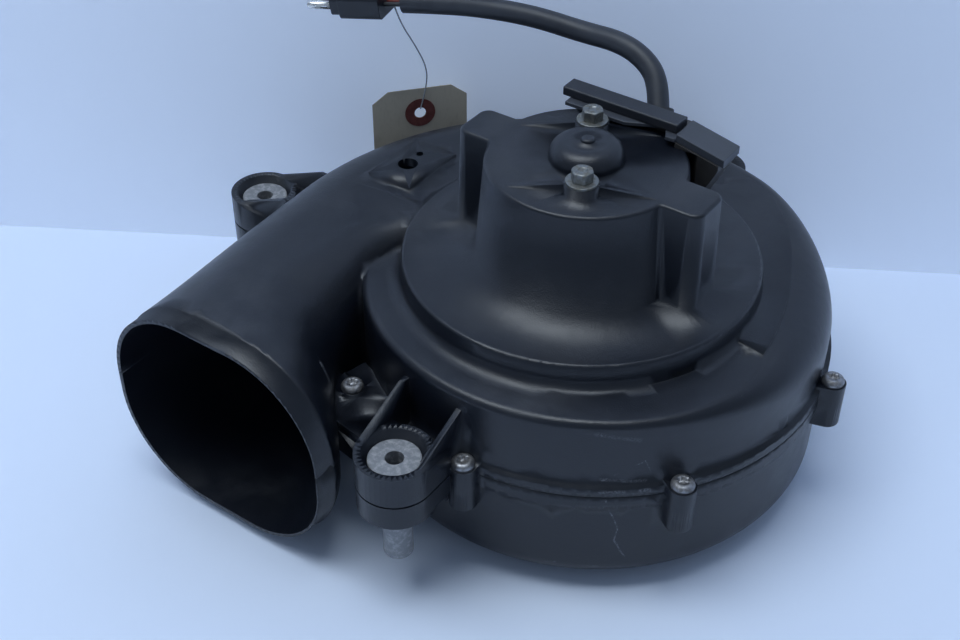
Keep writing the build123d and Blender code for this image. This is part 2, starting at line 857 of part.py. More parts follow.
def wheel_blade():
    """One forward-curved blade, as an arc of sheet standing between the eye and the rim."""
    inner = wheel_eye_radius + 0.4
    outer = wheel_radius - 0.6
    span = outer - inner
    sheet = Circle(blade_arc_radius + blade_thickness / 2) - Circle(blade_arc_radius - blade_thickness / 2)
    middle = (inner + outer) / 2
    lift = math.sqrt(blade_arc_radius**2 - (span / 2) ** 2)
    sheet = Pos(middle, lift, 0) * sheet
    window = Pos(middle, lift - blade_arc_radius, 0) * Rectangle(span, 2 * blade_arc_radius)
    sheet = sheet & window
    height = wheel_top - wheel_bottom - wheel_plate
    return Pos(0, 0, wheel_bottom + 0.6) * extrude(sheet, amount=height)


def blower_wheel():
    """Squirrel-cage wheel: blades between a lower ring and a dished back plate with its hub."""
    plate_low = wheel_top - wheel_plate
    dish_low = plate_low - wheel_dish_drop
    outline = Polyline(
        (hub_bush_radius + press_clearance, wheel_hub_bottom),
        (wheel_hub_radius, wheel_hub_bottom),
        (wheel_hub_radius, dish_low - 6.0),
        (wheel_hub_radius + 4.0, dish_low),
        (wheel_dish_radius, plate_low),
        (wheel_radius, plate_low),
        (wheel_radius, wheel_top),
        (wheel_dish_radius - 1.0, wheel_top),
        (wheel_hub_radius + 3.0, dish_low + wheel_plate),
        (hub_bush_radius + press_clearance, dish_low + wheel_plate),
        close=True,
    )
    wheel = revolve(Plane.XZ * make_face(outline), Axis.Z)
    ring = cylinder(wheel_radius, wheel_bottom, wheel_bottom + wheel_ring_height)
    ring -= cylinder(wheel_eye_radius, wheel_bottom - 1.0, wheel_bottom + wheel_ring_height + 1.0)
    wheel += ring
    blade = wheel_blade()
    blades = [Rot(0, 0, 360.0 / blade_count * index) * blade for index in range(blade_count)]
    return wheel + blades


def hub_bush():
    plate_low = wheel_top - wheel_plate - wheel_dish_drop
    bush = cylinder(hub_bush_radius, wheel_hub_bottom, plate_low + wheel_plate)
    return bush - cylinder(shaft_radius + press_clearance, wheel_hub_bottom - 1.0, plate_low + 10.0)


def wheel_clip():
    """Spring retaining ring in the shaft's groove under the hub."""
    low = wheel_hub_bottom - 0.15 - clip_thickness
    ring = cylinder(clip_radius, low, low + clip_thickness)
    ring -= cylinder(shaft_radius - 0.45, low - 1.0, low + 3.0)
    for index in range(3):
        turn = 120.0 * index
        ring -= Rot(0, 0, turn) * cylinder(1.6, low - 1.0, low + 3.0, shaft_radius + 1.4)
    return ring - box(0.0, clip_radius + 1.0, -1.2, 1.2, low - 1.0, low + 3.0)


def tab_line(x):
    """Height of the sloped tab's underside, and of the box under it."""
    return lid_height - tab_drop * (x - tab_left) / (tab_right - tab_left)


def terminal_box():
    """Box behind the can that covers the motor's terminals, cut to the can's round back."""
    base = disc_height
    outline = Polyline(
        (box_left, base),
        (box_right - box_taper, base),
        (box_right - box_taper, lid_height - box_slope_height),
        (box_right, lid_height - tab_drop - 2.0),
        (box_right, tab_line(box_right)),
        (tab_left, lid_height),
        (box_left, lid_height),
        close=True,
    )
    face = Plane(origin=(0, box_back, 0), x_dir=(1, 0, 0), z_dir=(0, -1, 0))
    body = extrude(face * make_face(outline), amount=box_back - box_front)
    body -= cylinder(can_foot_radius + box_clearance, base - 1.0, can_height + box_clearance)
    lobe_half = lobe_width / 2 + 2 * lobe_draft
    body -= box(-60, 60, -lobe_half, lobe_half, base - 1, can_height + box_clearance)
    body -= box(-60, tab_left, 0, box_upper_front, can_height - 1.0, lid_height + 1.0)
    return body


def terminal_lid():
    """Lid plate with the sloped tab at its right end."""
    low = lid_height
    plate = box(box_left - 1.0, tab_left, tab_front - 1.0, lid_back, low, low + lid_thickness)
    notch_reach = bolt_circle + bolt_rib_width / 2 + box_clearance
    notch = box(0, notch_reach, -bolt_rib_half_length, bolt_rib_half_length, low - 1.0, low + lid_thickness + 1.0)
    plate -= Rot(0, 0, bolt_angle + 180.0) * notch
    thick = lid_thickness + tab_extra
    profile = Polyline(
        (tab_left, low),
        (tab_right, tab_line(tab_right)),
        (tab_right, tab_line(tab_right) + thick),
        (tab_left, low + thick),
        close=True,
    )
    face = Plane(origin=(0, tab_back, 0), x_dir=(1, 0, 0), z_dir=(0, -1, 0))
    tab = extrude(face * make_face(profile), amount=tab_back - tab_front)
    return plate + tab


def clip_bar():
    low = lid_height + lid_thickness
    bar = box(bar_left, bar_right, bar_front, bar_front + bar_width, low, low + bar_height)
    return chamfer(bar.edges().filter_by(Axis.X), 0.5)


def cable_exit():
    """Collar on the back of the terminal box, square to the cable that rises out of it."""
    x, y, z = cable_route[0]
    heading = (Vector(*cable_route[1]) - Vector(*cable_route[0])).normalized()
    mouth = Plane(origin=cable_route[0], z_dir=heading)
    collar = extrude(mouth * Circle(cable_exit_radius), amount=-cable_exit_length)
    web_top = z - cable_exit_radius
    web = box(x - cable_exit_radius, x + cable_exit_radius, box_back, y, z - cable_exit_length, web_top)
    return collar + web - box(-60, 60, 0, box_back, 0, 300)


def corner_radii(points):
    """Arc radius at each inner point, 0.45 of the shorter run over the tangent of half the turn."""
    radii = []
    for before, here, after in zip(points, points[1:], points[2:]):
        first = Vector(*here) - Vector(*before)
        second = Vector(*after) - Vector(*here)
        half_turn = math.radians(first.get_angle(second) / 2)
        radii.append(0.45 * min(first.length, second.length) / math.tan(half_turn))
    return radii


def tube_along(points, radius, name):
    """Tube of straight runs joined by tangent arcs."""
    radii = corner_radii(points)
    print(name, "bend radii", [round(value, 1) for value in radii])
    path = FilletPolyline(*points, radius=radii)
    section = Plane(origin=path @ 0, z_dir=path % 0) * Circle(radius)
    tube = sweep(section, path=path)
    ideal = math.pi * radius**2 * path.length
    print(name, "length", round(path.length, 1), "volume over section times length", round(tube.volume / ideal, 4))
    return tube


def lead_heading():
    return (Vector(*cable_route[-1]) - Vector(*cable_route[-2])).normalized()


def connector_plane(advance):
    """Plane across the connector's axis, at a distance from the end of the cable sleeve."""
    direction = lead_heading()
    origin = Vector(*cable_route[-1]) + direction * advance
    side = Vector(0, 0, 1).cross(direction).normalized()
    return Plane(origin=origin, x_dir=side, z_dir=direction)


def lead_wire(side):
    """One lead wire from the end of the sleeve into the connector."""
    start = connector_plane(0.0)
    shift = wire_spread * side
    return extrude(start * (Pos(shift, 0, 0) * Circle(wire_radius)), amount=wire_length)


def connector_body():
    base = connector_plane(wire_length)
    block = Rectangle(connector_width, connector_height)
    block = fillet(block.vertices(), 2.2)
    body = extrude(base * block, amount=connector_length)
    nose = Rectangle(connector_width - 3.0, connector_height - 2.6)
    nose = fillet(nose.vertices(), 1.6)
    body += extrude(connector_plane(wire_length + connector_length) * nose, amount=connector_nose)
    latch = connector_plane(wire_length + 12.0) * Pos(0, connector_height / 2, 0)
    body += latch * Pos(0, 0.6, 7.0) * Box(5.0, 2.4, 9.0)
    for side in (-1, 1):
        back = connector_plane(wire_length - 1.0) * Pos(wire_spread * side, 0, 0)
        body -= extrude(back * Circle(wire_radius), amount=1.0)
    return body


def connector_pin(side):
    start = connector_plane(wire_length + connector_length + connector_nose)
    spot = start * Pos(pin_spacing / 2 * side, 0, pin_length / 2)
    pin = Cylinder(pin_radius, pin_length)
    pin = fillet(pin.edges().sort_by(Axis.Z)[-1], pin_radius * 0.6)
    return spot * pin


def connector_peg():
    start = connector_plane(wire_length + connector_length + connector_nose)
    peg = Rectangle(peg_width, peg_height)
    return extrude(start * peg, amount=peg_length)


def tag_frame():
    """Tag's own plane: X across the card, Y up the card, origin at the middle of its top edge."""
    return Pos(*tag_top) * Rot(0, 0, tag_yaw) * Rot(90, 0, 0)


def tag_card():
    half = tag_width / 2
    outline = Polyline(
        (-half + tag_corner, 0.0),
        (half - tag_corner, 0.0),
        (half, -tag_corner * 0.75),
        (half, -tag_height),
        (-half, -tag_height),
        (-half, -tag_corner * 0.75),
        close=True,
    )
    card = make_face(outline) - Pos(0, -tag_hole_drop, 0) * Circle(patch_hole)
    return tag_frame() * extrude(card, amount=tag_thickness)


def tag_patch():
    ring = Circle(patch_radius) - Circle(patch_hole)
    low = tag_frame() * Pos(0, -tag_hole_drop, tag_thickness)
    return low * extrude(ring, amount=patch_thickness)


def string_route():
    """From the lead wires down to the card's hole."""
    wires = Vector(*cable_route[-1]) + lead_heading() * (wire_length * 0.55)
    start = (wires.X, wires.Y, wires.Z - wire_radius - string_radius)
    front = tag_thickness + patch_thickness + string_gap
    end = (tag_frame() * Pos(0, patch_hole - tag_hole_drop - string_radius, front)).position
    return [start, *string_bends, (end.X, end.Y, end.Z)]


def write(name, shape):
    export_step(shape, f"parts/{name}.step")
    print(name, round(shape.volume, 1))


def group(solids):
    return Compound(children=list(solids))


def main():
    upper, lower = shells()
    write("upper_scroll_shell", upper)
    write("lower_scroll_shell", lower)
    screw = shell_screw()
    write("shell_screws", group([Pos(x, y, screw_boss_top) * screw for x, y, _ in screw_places()]))
    for name, spot in ear_places().items():
        write(f"mount_sleeve_{name}", place(mount_sleeve(), spot))
    bolt_seat = can_height + bolt_boss_height
    write("motor_bolt_washers", group([Pos(x, y, bolt_seat) * washer() for x, y in bolt_places()]))
    head_level = bolt_seat + washer_thickness
    write("motor_bolts", group([Pos(x, y, head_level) * Rot(0, 0, 12) * motor_bolt() for x, y in bolt_places()]))
    write("motor_case", motor_case())
    write("motor_end_plate", motor_end_plate())
    write("field_magnet_left", field_magnet(180.0))
    write("field_magnet_right", field_magnet(0.0))
    lower_seat = motor_case_bottom - lower_bearing_boss_height + motor_case_wall
    upper_seat = motor_case_top + end_plate_thickness + bearing_boss_height - 1.6 - bearing_length
    write("lower_bearing", bearing(lower_seat))
    write("upper_bearing", bearing(upper_seat))
    write("motor_shaft", motor_shaft())
    write("armature_core", armature_core())
    write("armature_windings", armature_windings())
    write("commutator", commutator())
    write("brush_plate", brush_plate())
    write("brush_left", brush(180.0))
    write("brush_right", brush(0.0))
    write("brush_spring_left", brush_spring(180.0))
    write("brush_spring_right", brush_spring(0.0))
    write("thrust_washer", thrust_washer(lower_seat + bearing_length + 0.3))
    write("blower_wheel", blower_wheel())
    write("wheel_hub_bush", hub_bush())
    write("wheel_clip", wheel_clip())
    write("terminal_box", terminal_box())
    write("terminal_lid", terminal_lid())
    write("terminal_clip_bar", clip_bar())
    write("cable_exit", cable_exit())
    write("cable_sleeve", tube_along(cable_route, cable_radius, "cable_sleeve"))
    write("lead_wire_left", lead_wire(-1))
    write("lead_wire_right", lead_wire(1))
    write("connector_body", connector_body())
    write("connector_pin_left", connector_pin(-1))
    write("connector_pin_right", connector_pin(1))
    write("connector_peg", connector_peg())
    write("tag_card", tag_card())
    write("tag_patch", tag_patch())
    write("tag_string", tube_along(string_route(), string_radius, "tag_string"))


main()
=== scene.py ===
"""Looks of a blower motor wheel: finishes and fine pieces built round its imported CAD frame, in metres."""

import logging
import math
from dataclasses import dataclass
from enum import Enum
from typing import Mapping, Optional, Sequence, Union

import bmesh
import bpy
from mathutils import Matrix, Vector


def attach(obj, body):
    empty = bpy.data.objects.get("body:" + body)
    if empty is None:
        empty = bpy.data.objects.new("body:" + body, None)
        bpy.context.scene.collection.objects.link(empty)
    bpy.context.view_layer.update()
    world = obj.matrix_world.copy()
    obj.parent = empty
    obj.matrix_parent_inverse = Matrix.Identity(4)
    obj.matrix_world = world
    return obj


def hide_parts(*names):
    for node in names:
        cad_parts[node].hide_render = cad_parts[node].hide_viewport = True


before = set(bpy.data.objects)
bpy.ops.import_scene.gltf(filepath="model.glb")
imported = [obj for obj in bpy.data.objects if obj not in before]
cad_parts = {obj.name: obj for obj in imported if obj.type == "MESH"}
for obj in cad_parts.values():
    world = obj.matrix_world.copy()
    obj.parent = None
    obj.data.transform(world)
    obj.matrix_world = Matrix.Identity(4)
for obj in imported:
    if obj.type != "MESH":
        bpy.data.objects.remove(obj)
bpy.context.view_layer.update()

log = logging.getLogger("blower")
MM = 0.001
MERGE_DISTANCE = 2e-6
FLAT_DEGREES = 0.4
ROUNDED_DEGREES = 42.0
COLOUR_RESULT = 2  # the Mix node's colour output, which shares its name with two others
Point = tuple[float, float, float]
Colour = tuple[float, float, float]


class Body(str, Enum):
    """The two rigid bodies that pieces ride on."""

    HOUSING = "housing"
    ROTOR = "rotor"


# ---------------------------------------------------------------- shader maths


class Shade:
    """One value of a shader graph, so that Python maths on it adds Math nodes."""

    def __init__(self, graph: "Graph", socket: bpy.types.NodeSocket) -> None:
        """Keep the graph and the output socket that this value comes from."""
        self.graph = graph
        self.socket = socket

    def _math(self, operation: str, *others: Union["Shade", float], flip: bool = False) -> "Shade":
        """Add one Math node.

        Args:
            operation: Blender's name of the operation.
            others: the other operands, values or numbers.
            flip: put this value last instead of first.

        Returns:
            The node's result.
        """
        operands: list[Union[Shade, float]] = [self, *others]
        if flip:
            operands.reverse()
        return self.graph.add("ShaderNodeMath", "Value", {"operation": operation}, dict(enumerate(operands)))

    def __add__(self, other: Union["Shade", float]) -> "Shade":
        """Sum."""
        return self._math("ADD", other)

    __radd__ = __add__

    def __sub__(self, other: Union["Shade", float]) -> "Shade":
        """Difference."""
        return self._math("SUBTRACT", other)

    def __rsub__(self, other: Union["Shade", float]) -> "Shade":
        """Difference with a number first."""
        return self._math("SUBTRACT", other, flip=True)

    def __mul__(self, other: Union["Shade", float]) -> "Shade":
        """Product."""
        return self._math("MULTIPLY", other)

    __rmul__ = __mul__

    def larger(self, other: Union["Shade", float]) -> "Shade":
        """The larger of two values."""
        return self._math("MAXIMUM", other)

    def step(self, low: float, high: float) -> "Shade":
        """A smooth step: 0 below low, 1 above high; reversed when low is above high."""
        reverse = low > high
        limits = {"From Min": min(low, high), "From Max": max(low, high)}
        inputs = {"Value": self, **limits, "To Min": float(reverse), "To Max": float(not reverse)}
        return self.graph.add("ShaderNodeMapRange", "Result", {"interpolation_type": "SMOOTHSTEP"}, inputs)


Value = Union[Shade, float, Sequence[float]]


class Graph:
    """The node tree of one material."""

    def __init__(self, name: str) -> None:
        """Start a material with only an output node."""
        self.material = bpy.data.materials.new(name)
        self.material.use_nodes = True
        self.tree = self.material.node_tree
        self.tree.nodes.clear()
        self.surface = self.tree.nodes.new("ShaderNodeOutputMaterial")

    def add(self, kind: str, output: str, settings: Mapping[str, object], inputs: Mapping) -> Shade:
        """Add any node.

        Args:
            kind: the node's type.
            output: the output to return.
            settings: the node's own properties, set first; "stops" fills a ramp with (place, colour) pairs.
            inputs: values or links by socket name or number.

        Returns:
            The named output as a value.
        """
        node = self.tree.nodes.new(kind)
        for key, value in settings.items():
            if key == "stops":
                ramp = node.color_ramp.elements
                while len(ramp) < len(value):
                    ramp.new(0.5)
                for element, (place, colour) in zip(ramp, value):
                    element.position = place
                    element.color = (*colour, 1.0)
            else:
                setattr(node, key, value)
        for key, value in inputs.items():
            socket = node.inputs[key]
            if isinstance(value, Shade):
                self.tree.links.new(value.socket, socket)
            else:
                socket.default_value = value
        return Shade(self, node.outputs[output])

    def places(self, scale: Point = (1.0, 1.0, 1.0)) -> Shade:
        """Object coordinates, scaled."""
        raw = self.add("ShaderNodeTexCoord", "Object", {}, {})
        inputs = {"Vector": raw, "Scale": scale}
        return self.add("ShaderNodeMapping", "Vector", {"vector_type": "POINT"}, inputs)

    def noise(
        self, scale: float, detail: float = 3.0, places: Optional[Shade] = None, rough: float = 0.5
    ) -> Shade:
        """Fractal noise from about 0 to 1 at a scale in repeats per metre."""
        where = places or self.places()
        inputs = {"Vector": where, "Scale": scale, "Detail": detail, "Roughness": rough}
        return self.add("ShaderNodeTexNoise", "Fac", {"noise_dimensions": "3D"}, inputs)

    def axis(self, vector: Shade, letter: str) -> Shade:
        """One coordinate of a vector."""
        return self.add("ShaderNodeSeparateXYZ", letter, {}, {"Vector": vector})

    def facing_up(self) -> Shade:
        """1 where the surface faces up, 0 on walls, -1 underneath."""
        return self.axis(self.add("ShaderNodeNewGeometry", "Normal", {}, {}), "Z")

    def corners(self, reach: float, convex: bool = False) -> Shade:
        """0 on open surfaces, rising to 1 in inside corners, or at outside edges when convex."""
        settings = {"samples": 8, "only_local": True, "inside": convex}
        shade = self.add("ShaderNodeAmbientOcclusion", "AO", settings, {"Distance": reach})
        return 1.0 - shade

    def tint(self, share: Value, low: Value, high: Value) -> Shade:
        """A colour between two colours, ready for a shader."""
        ends = [value if isinstance(value, Shade) else (*value, 1.0) for value in (low, high)]
        inputs = {0: share, 6: ends[0], 7: ends[1]}
        node = self.add("ShaderNodeMix", "Result", {"data_type": "RGBA"}, inputs)
        return Shade(self, node.socket.node.outputs[COLOUR_RESULT])

    def relief(self, height: Shade, distance: float, strength: float = 1.0) -> Shade:
        """A normal bent by a height of the given distance in metres."""
        inputs = {"Strength": strength, "Distance": distance, "Height": height}
        return self.add("ShaderNodeBump", "Normal", {}, inputs)

    def near_line(self, places: Shade, start: Point, end: Point, width: float) -> Shade:
        """1 close to a straight line between two points, 0 beyond its width.

        Args:
            places: the coordinates to measure in.
            start: one end, in metres.
            end: the other end.
            width: full width at which the mark has gone.

        Returns:
            The mask.
        """
        along = Vector(end) - Vector(start)
        offset = self.add("ShaderNodeVectorMath", "Vector", {"operation": "SUBTRACT"}, {0: places, 1: start})
        dots = {0: offset, 1: tuple(along / along.length_squared)}
        share = self.add("ShaderNodeVectorMath", "Value", {"operation": "DOT_PRODUCT"}, dots)
        share = self.add("ShaderNodeClamp", "Result", {}, {"Value": share})
        reach = {0: tuple(along), "Scale": share}
        foot = self.add("ShaderNodeVectorMath", "Vector", {"operation": "SCALE"}, reach)
        gap = self.add("ShaderNodeVectorMath", "Value", {"operation": "DISTANCE"}, {0: offset, 1: foot})
        return gap.step(width / 2, width / 5)

    def shader(
        self, colour: Value, roughness: Value, normal: Optional[Shade] = None, **fixed: Value
    ) -> bpy.types.Material:
        """Finish the material with one Principled shader.

        Args:
            colour: base colour, a value or three numbers.
            roughness: a value or a number.
            normal: a bent normal, or none.
            fixed: other inputs by name, with _ for a space.

        Returns:
            The material.
        """
        inputs: dict = {"Roughness": roughness}
        inputs["Base Color"] = colour if isinstance(colour, Shade) else (*colour, 1.0)
        if normal is not None:
            inputs["Normal"] = normal
        for name, value in fixed.items():
            inputs[name.replace("_", " ")] = value
        done = self.add("ShaderNodeBsdfPrincipled", "BSDF", {}, inputs)
        self.tree.links.new(done.socket, self.surface.inputs["Surface"])
        return self.material


# ---------------------------------------------------------------- finishes


@dataclass(frozen=True)
class Scratch:
    """One straight scratch or scuff on the plastic: its ends in millimetres, width and strength."""

    start: Point
    end: Point
    width: float
    strength: float = 1.0


@dataclass(frozen=True)
class MouldedPlastic:
    """Satin moulded plastic with a fine grain, dust on top and in its corners, scratches, and outside edges
    lightened as wear and painted highlight.
    """

    name: str
    base: Colour = (0.0058, 0.0076, 0.0125)
    # the dust colour, also used for the painted highlight on outside edges
    dust_and_highlight_colour: Colour = (0.17, 0.175, 0.19)
    roughness: float = 0.36
    dust_share: float = 0.15
    corner_share: float = 0.75
    edge_wear_and_highlight_share: float = 0.16
    grain: float = 0.00006
    sway: float = 2.2
    scratches: tuple[Scratch, ...] = ()

    def build(self) -> bpy.types.Material:
        """Make the material."""
        g = Graph(self.name)
        broad = g.noise(14.0, 4.0)
        cloud = g.noise(60.0, 5.0, rough=0.62)
        speck = g.noise(900.0, 2.0)
        up = g.facing_up().step(0.25, 0.95)
        film = up * broad.step(0.38, 0.72) * cloud.step(0.30, 0.75) * self.dust_share
        specks = up * speck.step(0.66, 0.76) * (0.5 * self.dust_share)
        nooks = g.corners(3.2 * MM).step(0.28, 0.85) * cloud.step(0.25, 0.60) * self.corner_share
        # outside edges lightened towards the dust colour: edge wear and painted highlight
        edges = g.corners(1.1 * MM, convex=True).step(0.35, 0.9) * cloud.step(0.35, 0.65) * self.edge_wear_and_highlight_share
        dust_and_highlight = film + specks + nooks * up.larger(0.35) + edges
        where = g.places()
        bent = g.add("ShaderNodeTexNoise", "Color", {}, {"Vector": where, "Scale": 120.0, "Detail": 2.0})
        reach = {0: bent, "Scale": self.sway * MM}
        offset = g.add("ShaderNodeVectorMath", "Vector", {"operation": "SCALE"}, reach)
        where = g.add("ShaderNodeVectorMath", "Vector", {"operation": "ADD"}, {0: where, 1: offset})
        half = (self.sway / 2 * MM,) * 3
        where = g.add("ShaderNodeVectorMath", "Vector", {"operation": "SUBTRACT"}, {0: where, 1: half})
        broken = g.noise(1500.0, 2.0).step(0.38, 0.60)
        for mark in self.scratches:
            start, end = (tuple(value * MM for value in place) for place in (mark.start, mark.end))
            dust_and_highlight = dust_and_highlight + g.near_line(where, start, end, mark.width * MM) * broken * mark.strength
        dust_and_highlight = g.add("ShaderNodeClamp", "Result", {}, {"Value": dust_and_highlight})
        colour = g.tint(dust_and_highlight, self.base, self.dust_and_highlight_colour)
        dull = dust_and_highlight * 0.45 + cloud.step(0.2, 0.9) * 0.14 + (self.roughness - 0.07)
        pebble = g.add("ShaderNodeTexVoronoi", "Distance", {}, {"Vector": g.places(), "Scale": 1600.0})
        bumps = pebble * 0.6 + g.noise(260.0, 3.0) * 0.9
        return g.shader(colour, dull, g.relief(bumps, self.grain), Specular_IOR_Level=0.5)


@dataclass(frozen=True)
class Steel:
    """Plated or bare steel with dull patches and optional rust or chalk."""

    name: str
    base: Colour = (0.42, 0.41, 0.40)
    patch: Colour = (0.26, 0.25, 0.24)
    roughness: float = 0.38
    metallic: float = 1.0
    patch_share: float = 0.7
    grain: float = 0.00004

    def build(self) -> bpy.types.Material:
        """Make the material."""
        g = Graph(self.name)
        stain = g.noise(420.0, 5.0, rough=0.65).step(0.42, 0.66)
        colour = g.tint(stain * self.patch_share, self.base, self.patch)
        dull = stain * 0.28 + self.roughness
        shine = 1.0 - stain * self.patch_share * 0.6
        bumps = g.noise(1400.0, 3.0)
        return g.shader(colour, dull, g.relief(bumps, self.grain), Metallic=shine * self.metallic)


@dataclass(frozen=True)
class Plain:
    """A simple non-metal or metal finish with a slight mottle, for inner and small parts."""

    name: str
    base: Colour
    second: Colour
    roughness: float = 0.5
    metallic: float = 0.0
    scale: float = 260.0
    grain: float = 0.00003

    def build(self) -> bpy.types.Material:
        """Make the material."""
        g = Graph(self.name)
        mottle = g.noise(self.scale, 4.0, rough=0.6).step(0.3, 0.7)
        colour = g.tint(mottle, self.base, self.second)
        dull = mottle * 0.12 + self.roughness
        return g.shader(colour, dull, g.relief(mottle, self.grain), Metallic=self.metallic)


@dataclass(frozen=True)
class Windings:
    """Enamelled copper wire laid round the armature."""

    name: str = "copper_windings"
    turns_per_metre: float = 900.0

    def build(self) -> bpy.types.Material:
        """Make the material."""
        g = Graph(self.name)
        wave = {"Vector": g.places(), "Scale": self.turns_per_metre / 20.0, "Distortion": 1.5, "Detail": 1.0}
        bands = g.add("ShaderNodeTexWave", "Fac", {"bands_direction": "Z"}, wave)
        colour = g.tint(bands, (0.24, 0.075, 0.022), (0.60, 0.25, 0.085))
        return g.shader(colour, 0.34, g.relief(bands, 0.0002), Metallic=0.75)


@dataclass(frozen=True)
class Card:
    """Manila card with fibres and a faint tone."""

    name: str = "manila_card"
    base: Colour = (0.56, 0.50, 0.40)
    worn: Colour = (0.40, 0.34, 0.26)

    def build(self) -> bpy.types.Material:
        """Make the material."""
        g = Graph(self.name)
        fibre = g.noise(900.0, 4.0, g.places((1.0, 1.0, 0.35)))
        tone = g.noise(45.0, 3.0).step(0.45, 0.75)
        colour = g.tint(tone * 0.5 + fibre.step(0.5, 0.75) * 0.25, self.base, self.worn)
        return g.shader(colour, 0.86, g.relief(fibre, 0.00006), Specular_IOR_Level=0.2)


@dataclass(frozen=True)
class Studio:
    """Matt surface of the table top or the wall behind it."""

    name: str
    base: Colour
    glow: float = 0.0

    def build(self) -> bpy.types.Material:
        """Make the material."""
        g = Graph(self.name)
        tone = g.noise(3.0, 2.0).step(0.3, 0.8)
        darker = tuple(value * 0.965 for value in self.base)
        colour = g.tint(tone, self.base, darker)
        glow = {"Emission_Color": (0.50, 0.66, 1.0, 1.0), "Emission_Strength": self.glow}
        return g.shader(colour, 0.9, None, Specular_IOR_Level=0.1, **glow)


# ---------------------------------------------------------------- shaping helpers


def dress(name: str, material: bpy.types.Material) -> None:
    """Give a CAD node one material."""
    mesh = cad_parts[name].data
    mesh.materials.clear()
    mesh.materials.append(material)


def settle(piece: bpy.types.Object, body: Body, slot: str, *replaced: str) -> bpy.types.Object:
    """Let a finished piece ride on its body and hide the CAD nodes that it stands for.

    Args:
        piece: the piece, in place.
        body: the body that it moves with.
        slot: not used.
        replaced: CAD nodes that it stands for.

    Returns:
        The piece.
    """
    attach(piece, body.value)
    if replaced:
        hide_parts(*replaced)
    log.info("%s rides on %s", piece.name, body.value)
    return piece


def make_object(
    name: str, mesh: bmesh.types.BMesh, material: bpy.types.Material, smooth: float = 35.0
) -> bpy.types.Object:
    """Turn a bmesh into an object at the origin.

    Args:
        name: the object's name.
        mesh: the shape; it is freed.
        material: the finish.
        smooth: faces that meet at less than this many degrees are shaded as one.

    Returns:
        The object.
    """
    data = bpy.data.meshes.new(name)
    mesh.to_mesh(data)
    mesh.free()
    data.materials.append(material)
    piece = bpy.data.objects.new(name, data)
    bpy.context.scene.collection.objects.link(piece)
    data.shade_smooth()
    data.set_sharp_from_angle(angle=math.radians(smooth))
    return piece


def softened(
    node: str, material: bpy.types.Material, body: Body, slot: str, edge: float, smooth: float = 32.0
) -> bpy.types.Object:
    """Stand a merged, smooth-shaded copy with small rounded edges in for a CAD node.

    Args:
        node: the CAD node.
        material: its finish.
        body: the body it moves with.
        slot: not used.
        edge: width of the edge rounding in millimetres; 0 leaves edges sharp.
        smooth: faces that meet at less than this many degrees are shaded as one.

    Returns:
        The copy.
    """
    mesh = bmesh.new()
    mesh.from_mesh(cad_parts[node].data)
    bmesh.ops.remove_doubles(mesh, verts=mesh.verts, dist=MERGE_DISTANCE)
    if edge > 0:
        flat = math.radians(FLAT_DEGREES)
        bmesh.ops.dissolve_limit(mesh, angle_limit=flat, verts=mesh.verts, edges=mesh.edges)
    piece = make_object(f"{node}_finished", mesh, material, smooth)
    if edge > 0:
        rounding = piece.modifiers.new("edge_rounding", "BEVEL")
        rounding.width = edge * MM
        rounding.segments = 2
        rounding.limit_method = "ANGLE"
        rounding.angle_limit = math.radians(ROUNDED_DEGREES)
        rounding.harden_normals = True
        rounding.miter_outer = "MITER_ARC"
    return settle(piece, body, slot, node)


# ---------------------------------------------------------------- stage


